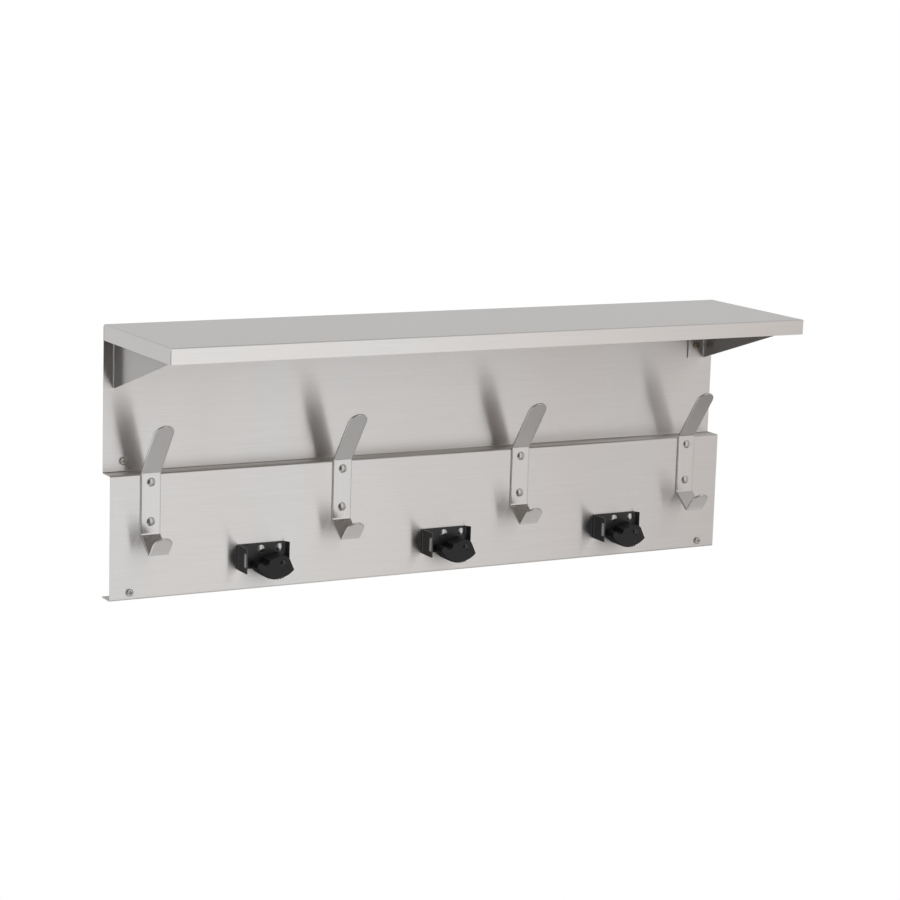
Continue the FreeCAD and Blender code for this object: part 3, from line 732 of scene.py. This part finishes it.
def screw_grid(sizes, x, z, top, end):
    """A pan-headed screw: the head's top is sunk by the recess times how deep a point lies in the
    cross, its walls sloped and its arms running out; the thread's radius is the root plus a ridge
    that climbs one pitch in a turn."""
    seat = top + sizes.rise
    shoulder = sizes.head - sizes.round
    soft, collar = 0.12 * MM, 0.2 * MM
    crown = np.linspace(0, 1, 27)
    turn = np.linspace(0, math.pi / 2, 8)[1:]
    body = np.linspace(0, 1, 190)[1:] * end
    taper = np.clip((end - body) / sizes.point, 0, 1)
    rows = np.concatenate([
        np.stack([shoulder * crown, top + sizes.crown * crown ** 2], 1),
        np.stack([shoulder + sizes.round * np.sin(turn),
                  top + sizes.crown + (sizes.round - sizes.crown) * (1 - np.cos(turn))], 1),
        [[sizes.head, seat - soft], [sizes.head - soft, seat], [sizes.neck, seat],
         [sizes.neck, seat + collar], [sizes.neck, 0.0]],
        np.stack([sizes.root * taper ** 0.8, body], 1)])
    columns = 64
    grid = turned(rows, x, z, columns)
    a = np.linspace(0, 2 * math.pi, columns, endpoint=False)
    y = grid[..., 1]
    run_in, run_out = 1.5 * sizes.pitch, 0.8 * sizes.point
    lead = np.clip(y / run_in, 0, 1) * np.clip((end - y) / run_out, 0, 1)
    phase = (y / sizes.pitch - a / (2 * math.pi)) % 1.0
    flat, flank = 1.25, 2.1
    ridge = np.clip(flat - np.abs(2 * phase - 1) * flank, 0, 1) * (sizes.crest - sizes.root) * lead
    ridge = np.where(y > 0, ridge, 0)
    dx, dz = grid[..., 0] - x, grid[..., 2] - z
    near = np.minimum(np.abs(dx), np.abs(dz))
    walls = np.clip((sizes.arm + sizes.slope - near) / sizes.slope, 0, 1)
    arm_run = 0.75 * sizes.span
    depth = sizes.recess * np.clip((sizes.span - np.hypot(dx, dz)) / arm_run, 0, 1)
    on_top = y < top + sizes.rise * 0.5
    grid[..., 0] += ridge * np.cos(a)
    grid[..., 2] += ridge * np.sin(a)
    grid[..., 1] += np.where(on_top, walls * depth, 0)
    return grid


def spring_grid(sizes, x, z, front):
    """A torsion spring's wire: a tube whose middle line is a straight leg, a quarter bend, a helix
    (R sin a, rise a, R cos a), a quarter bend and a leg, its rings set by the radial direction."""
    coil, bend = sizes.coil, sizes.hook_in
    quarter = np.linspace(0, math.pi / 2, 9)
    level = np.full(len(quarter), coil)
    a = np.linspace(0, 2 * math.pi * sizes.turns, 40 * sizes.turns + 1)
    rise = sizes.coil_pitch / (2 * math.pi)
    lead = np.stack([-bend * np.cos(quarter), front - bend + bend * np.sin(quarter), level], 1)
    helix = np.stack([coil * np.sin(a), front + rise * a, coil * np.cos(a)], 1)
    last = front + rise * a[-1]
    trail = np.stack([bend * np.sin(quarter), last + bend * (1 - np.cos(quarter)), level], 1)
    tip = [[-bend, front - bend - sizes.in_cam, coil]]
    tail = [[bend, PANEL_FACE - sizes.clear, coil]]
    line = np.concatenate([tip, lead, helix[1:-1], trail, tail])
    legs = np.zeros(len(quarter) + 1)
    out = np.concatenate([legs, a[1:-1], legs])
    radial = np.stack([np.sin(out), np.zeros(len(out)), np.cos(out)], 1)
    way = np.gradient(line, axis=0)
    way /= np.linalg.norm(way, axis=1, keepdims=True)
    third = np.cross(way, radial)
    third /= np.linalg.norm(third, axis=1, keepdims=True)
    radial = np.cross(third, way)
    b = np.linspace(0, 2 * math.pi, 14, endpoint=False)[:, None]
    wall = np.cos(b) * radial[:, None] + np.sin(b) * third[:, None]
    tube = line[:, None] + sizes.wire / 2 * wall
    caps = [np.repeat(line[i][None, None], len(b), 1) for i in (0, -1)]
    return np.concatenate([caps[0], tube, caps[1]]) + [x, 0, z]


def middle(node):
    """The middle of a node's box in x and z, and its front and back in y."""
    low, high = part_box(node)
    return (low.x + high.x) / 2, (low.z + high.z) / 2, low.y, high.y


def pair(node, radius):
    """The two axes of a node that holds two turned bodies of a radius, as (x, z)."""
    low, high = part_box(node)
    return [(low.x + radius, low.z + radius), (high.x - radius, high.z - radius)]


class SHELF_OT_stage(bpy.types.Operator):
    """Makes the floor, the room's light and the camera"""
    bl_idname = "shelf.stage"
    bl_label = "Stage"

    def execute(self, context):
        scene = context.scene
        scene.view_settings.view_transform = "Standard"
        self.world(scene)
        self.floor(scene.shelf_settings.stage)
        self.camera(scene)
        return {"FINISHED"}

    def world(self, scene):
        """White to the camera. To metal the front is bright right of its middle, dimmer and warm
        further right, and dark on the left up to a bright strip at its end; the back and the ceiling
        are grey."""
        world = bpy.data.worlds.new("studio")
        scene.world = world
        world.use_nodes = True
        world.node_tree.nodes.clear()
        recipe = Recipe(world.node_tree)
        path = recipe.outputs("ShaderNodeLightPath")
        seen = path["Is Camera Ray"] + path["Is Transmission Ray"]
        at = recipe.outputs("ShaderNodeSeparateXYZ", {0: recipe.add("ShaderNodeTexCoord")})
        x, y, z = at["X"], at["Y"], at["Z"]
        front = recipe.ramp((x + 1.0) * 0.5, FRONT)
        dark = recipe.window(x, *DARK_X) * recipe.window(z, *DARK_Z)
        front = recipe.mix(dark, front, DARK)
        back = recipe.mix(recipe.range(x, -0.25, 0.25), BACK_LEFT, BACK_RIGHT)
        walls = recipe.mix(recipe.range(y, 0.15, -0.25), back, front)
        high = recipe.range(z + recipe.range(y, 0.3, 0.7) * 0.25, 0.50, 0.85)
        room = recipe.mix(high, walls, CEILING)
        shown = recipe.mix(seen, room, WHITE)
        lit = recipe.mix(seen + path["Is Glossy Ray"], ROOM_LIGHT, shown)
        out = recipe.add("ShaderNodeBackground", inputs={"Color": lit, "Strength": 1.0})
        recipe.feed(recipe.node("ShaderNodeOutputWorld").inputs["Surface"], out)

    def floor(self, look):
        """A flat disc in polar form, (r cos a, r sin a): white to the camera, and to metal a floor
        that darkens to the right, with a paler strip by the wall."""
        r = np.linspace(0, look.floor_radius, 5)
        a = np.linspace(0, 2 * math.pi, 96, endpoint=False)
        level = np.full((len(r), len(a)), -look.floor_drop)
        grid = np.stack([np.outer(r, np.cos(a)), np.outer(r, np.sin(a)), level], -1)
        floor = skin("floor", [grid])
        material, recipe, sockets = new_material("pale_floor", {"Roughness": 0.8})
        sockets["Base Color"].default_value = (*look.floor, 1)
        nodes = recipe.tree.nodes
        path = recipe.outputs("ShaderNodeLightPath")
        seen = path["Is Camera Ray"] + path["Is Transmission Ray"]
        x, y, _ = recipe.axes()
        far = recipe.ramp((x + FLOOR_START) * (1 / FLOOR_RUN), FLOOR)
        by_wall = recipe.mix(recipe.range(x, -0.35, 0.05), BY_WALL_LEFT, BY_WALL_RIGHT)
        mirrored = recipe.mix(recipe.range(y, -0.18, -0.02), far, by_wall)
        tone = recipe.mix(path["Is Glossy Ray"], WHITE, mirrored)
        glow = recipe.add("ShaderNodeEmission", inputs={"Color": tone, "Strength": 1.0})
        body = Value(recipe, nodes["Principled BSDF"].outputs[0])
        both = recipe.add("ShaderNodeMixShader",
                          inputs={0: seen + path["Is Glossy Ray"], 1: body, 2: glow})
        recipe.feed(nodes["Material Output"].inputs["Surface"], both)
        floor.data.materials.append(material)

    def camera(self, scene):
        """The camera that was solved from the photo."""
        data = bpy.data.cameras.new("camera")
        data.sensor_width = CAMERA_SENSOR
        data.lens = CAMERA_LENS
        data.clip_end = 100.0
        camera = bpy.data.objects.new("camera", data)
        scene.collection.objects.link(camera)
        azimuth, elevation, roll = (math.radians(v) for v in CAMERA_TURN)
        back = Vector((math.sin(azimuth) * math.cos(elevation),
                       -math.cos(azimuth) * math.cos(elevation), math.sin(elevation)))
        right = Vector((0, 0, 1)).cross(back).normalized()
        up = back.cross(right)
        level = right * math.cos(roll) + up * math.sin(roll)
        raised = up * math.cos(roll) - right * math.sin(roll)
        turn = Matrix((level, raised, back)).transposed().to_4x4()
        camera.matrix_world = Matrix.Translation(CAMERA_PLACE) @ turn
        scene.camera = camera


class SHELF_OT_sheets(bpy.types.Operator):
    """Gives the shelf, the back panel and the brackets their brushed steel"""
    bl_idname = "shelf.sheets"
    bl_label = "Sheets"

    def execute(self, context):
        look = context.scene.shelf_settings.steel
        # Painted shade: the panel's up-facing ledge gets a darker steel colour.
        panel = brushed("panel_steel", look.panel, look.rough, ALONG_X, look.brushing,
                        painted_shade=(UP, look.ledge_shade, 0.05))
        # Painted shade: the shelf's down-facing faces get a darker, browner steel colour.
        top = brushed("shelf_steel", look.shelf, look.shelf_rough, ALONG_X,
                      side_drawn=ALONG_Y, painted_shade=(DOWN, look.under, 0.05))
        # Painted shade: the brackets' side-facing webs get a darker steel colour.
        bracket = brushed("bracket_steel", look.panel, look.rough, ALONG_X, look.brushing,
                          side_drawn=ALONG_Z, painted_shade=(SIDEWAYS, look.web_shade, 0.0))
        dress(panel, "back_panel")
        dress(bracket, "bracket_left", "bracket_right")
        shelf = closed("shelf_sheet", frame["nodes"]["shelf"].data.copy())
        soften(shelf, look.edge)
        place(shelf, "shelf", "unit", top, "stainless_sheet")
        return {"FINISHED"}


class SHELF_OT_hooks(bpy.types.Operator):
    """Makes the four coat hooks"""
    bl_idname = "shelf.hooks"
    bl_label = "Hooks"

    def execute(self, context):
        settings = context.scene.shelf_settings
        look = settings.steel
        steel = brushed("hook_steel", look.strip, look.strip_rough, (1, DRAWN, DRAWN))
        for n in HOOKS:
            x, _, _, _ = middle("hook_" + n)
            strip = skin("hook_strip_" + n, [hook_grid(settings.hook, x)])
            place(strip, "hook_" + n, "unit", steel, "stainless_strip")
        return {"FINISHED"}


class SHELF_OT_rivets(bpy.types.Operator):
    """Makes the domed rivets of the hooks and the holder plates"""
    bl_idname = "shelf.rivets"
    bl_label = "Rivets"

    def execute(self, context):
        settings = context.scene.shelf_settings
        sizes, look = settings.rivet, settings.steel
        steel = bright_metal("rivet_steel", look.rivet, look.rivet_rough)
        bright = bright_metal("bright_rivet", look.rivet, look.bright_rough)
        back = PANEL_FACE + sizes.sheet
        kinds = [("hook_rivets_" + n, sizes.hook_head, sizes.hook_rise, sizes.hook_tail, steel,
                  "stainless_rivet") for n in HOOKS]
        kinds += [("holder_rivets_" + n, sizes.holder_head, sizes.holder_rise, sizes.holder_tail,
                   bright, "bright_rivet") for n in HOLDERS]
        for node, head, rise, tail, material, slot in kinds:
            _, _, front, end = middle(node)
            grids = [rivet_grid(x, z, front + rise, head, rise, sizes.shank, back, tail, end)
                     for x, z in pair(node, head)]
            place(skin(node + "_set", grids), node, "unit", material, slot)
        return {"FINISHED"}


class SHELF_OT_screws(bpy.types.Operator):
    """Makes the wall screws with their cross recesses and threads"""
    bl_idname = "shelf.screws"
    bl_label = "Wall screws"

    def execute(self, context):
        settings = context.scene.shelf_settings
        sizes, look = settings.screw, settings.steel
        plain = bright_metal("screw_steel", look.screw, look.screw_rough)
        bronzed = bright_metal("bronzed_steel", look.bronzed, look.bronzed_rough)
        metals = {"bracket_screws": bronzed, "panel_screws": plain, "foot_screws": plain}
        for node, metal in metals.items():
            _, _, top, end = middle(node)
            grids = [screw_grid(sizes, x, z, top, end) for x, z in pair(node, sizes.head)]
            place(skin(node + "_pair", grids), node, "unit", metal, "wall_screw")
        return {"FINISHED"}


class SHELF_OT_holders(bpy.types.Operator):
    """Makes the three holder plates"""
    bl_idname = "shelf.holders"
    bl_label = "Holder plates"

    def execute(self, context):
        settings = context.scene.shelf_settings
        sizes, look = settings.holder, settings.black
        corner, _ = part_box("holder_plate_1")
        front = corner.y
        bead = front + sizes.bead_in + sizes.bead_width / 2
        bead_low = corner.z + sizes.bead_foot
        bead_high = bead_low + sizes.bead
        root = PANEL_FACE - sizes.sheet

        def highlight_mask(recipe):
            """How strongly a painted highlight is laid on the jaw's edge, along its bead and at the
            plate's bends, in windows of millimetres along y from each."""
            _, y, z = recipe.axes()

            def near(place, *limits):
                return recipe.window(y, *(place + v * MM for v in limits))

            across, _, _ = recipe.axes("Normal")
            edge = recipe.range(y, front + 1.2 * MM, front + 0.5 * MM)
            tall = recipe.window(z, bead_low, bead_low + 2 * MM, bead_high - 2 * MM, bead_high)
            lightened = near(bead, -3.6, -2.6, 0.4, 2.0) * tall
            bends = near(root, -2.6, -1.8, -0.5, 0.0) * recipe.range(abs(across), 0.5, 0.8)
            return edge * 0.12 + lightened + bends * 0.24

        paint = black_paint("holder_paint", look.plate, look.highlight_tone, look.plate_rough, highlight_mask)
        for n in HOLDERS:
            node = "holder_plate_" + n
            low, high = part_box(node)
            x = low.x + sizes.bead_rise + sizes.left
            piece = skin("holder_%s_plate" % n, [holder_grid(sizes, x, low.z, high.z)])
            place(piece, node, "unit", paint, "black_plate")
        return {"FINISHED"}


class SHELF_OT_cams(bpy.types.Operator):
    """Makes the rubber cams, their pins and springs, and dresses the spacers"""
    bl_idname = "shelf.cams"
    bl_label = "Cams"

    def execute(self, context):
        settings = context.scene.shelf_settings
        sizes, look = settings.cam, settings.black
        tone = rubber("cam_rubber", look.cam, look.cam_rough)
        black = bright_metal("black_pin", look.pin, look.pin_rough)
        wire = bright_metal("spring_wire", look.wire, look.wire_rough)
        nylon = rubber("spacer_nylon", look.spacer, look.spacer_rough)
        for n, body in HOLDERS.items():
            node = frame["nodes"]["cam_" + n]
            cam = closed("cam_%s_rubber" % n, node.data.copy())
            soften(cam, sizes.edge)
            place(cam, "cam_" + n, body, tone, "cam_rubber")
            x, z, front, end = middle("cam_pin_" + n)
            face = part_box("holder_plate_" + n)[1].y - settings.holder.sheet
            seat = front + sizes.pin_rise
            head = dome(sizes.pin_head, sizes.pin_rise, seat, -1)
            rest = [[sizes.pin, seat], [sizes.pin, face], [sizes.tenon, face], [sizes.tenon, end],
                    [0, end]]
            pin = skin("cam_%s_pin" % n, [turned(np.concatenate([head, rest]), x, z)])
            place(pin, "cam_pin_" + n, "unit", black, "black_pin")
            low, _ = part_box("cam_spring_" + n)
            coil_front = low.y + sizes.in_cam + sizes.hook_in
            spring = skin("cam_%s_spring" % n, [spring_grid(sizes, x, z, coil_front)])
            place(spring, "cam_spring_" + n, frame_body("cam_spring_" + n), wire, "spring_wire")
            dress(nylon, "cam_spacer_" + n)
        return {"FINISHED"}


def soften(piece, edge):
    """Rounds a piece's sharp edges and keeps its flat faces flat to the light."""
    bevel = piece.modifiers.new("rounded", "BEVEL")
    bevel.width = edge
    bevel.segments = 2
    bevel.limit_method = "ANGLE"
    bevel.angle_limit = math.radians(40)
    bevel.harden_normals = True
    even = piece.modifiers.new("even", "WEIGHTED_NORMAL")
    even.keep_sharp = True


def frame_body(node):
    """The body that a CAD node rides on."""
    return frame["nodes"][node]["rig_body"]


def own_settings(group):
    """The names of a group's own settings."""
    return [key for key in group.bl_rna.properties.keys() if key not in ("rna_type", "name")]


class SHELF_PT_panel(bpy.types.Panel):
    """Lists the steps that make the shelf and its settings"""
    bl_idname = "SHELF_PT_panel"
    bl_label = "Utility shelf"
    bl_space_type = "VIEW_3D"
    bl_region_type = "UI"
    bl_category = "Shelf"

    def draw(self, context):
        column = self.layout.column(align=True)
        for step in STEPS:
            column.operator(step.bl_idname)
        settings = context.scene.shelf_settings
        for part in own_settings(settings):
            group = getattr(settings, part)
            box = self.layout.box()
            box.label(text=part.capitalize())
            for key in own_settings(group):
                box.prop(group, key)


STEPS = [SHELF_OT_stage, SHELF_OT_sheets, SHELF_OT_hooks, SHELF_OT_rivets, SHELF_OT_screws,
         SHELF_OT_holders, SHELF_OT_cams]
GROUPS = [SteelLook, BlackLook, HookSizes, RivetSizes, ScrewSizes, HolderSizes, CamSizes, StageLook,
          ShelfSettings]


def register():
    for item in GROUPS + STEPS + [SHELF_PT_panel]:
        bpy.utils.register_class(item)
    bpy.types.Scene.shelf_settings = PointerProperty(type=ShelfSettings)


def unregister():
    del bpy.types.Scene.shelf_settings
    for item in reversed(GROUPS + STEPS + [SHELF_PT_panel]):
        bpy.utils.unregister_class(item)


def main():
    register()
    bpy.ops.shelf.stage()
    bpy.ops.shelf.sheets()
    bpy.ops.shelf.hooks()
    bpy.ops.shelf.rivets()
    bpy.ops.shelf.screws()
    bpy.ops.shelf.holders()
    bpy.ops.shelf.cams()


if __name__ == "__main__":
    main()
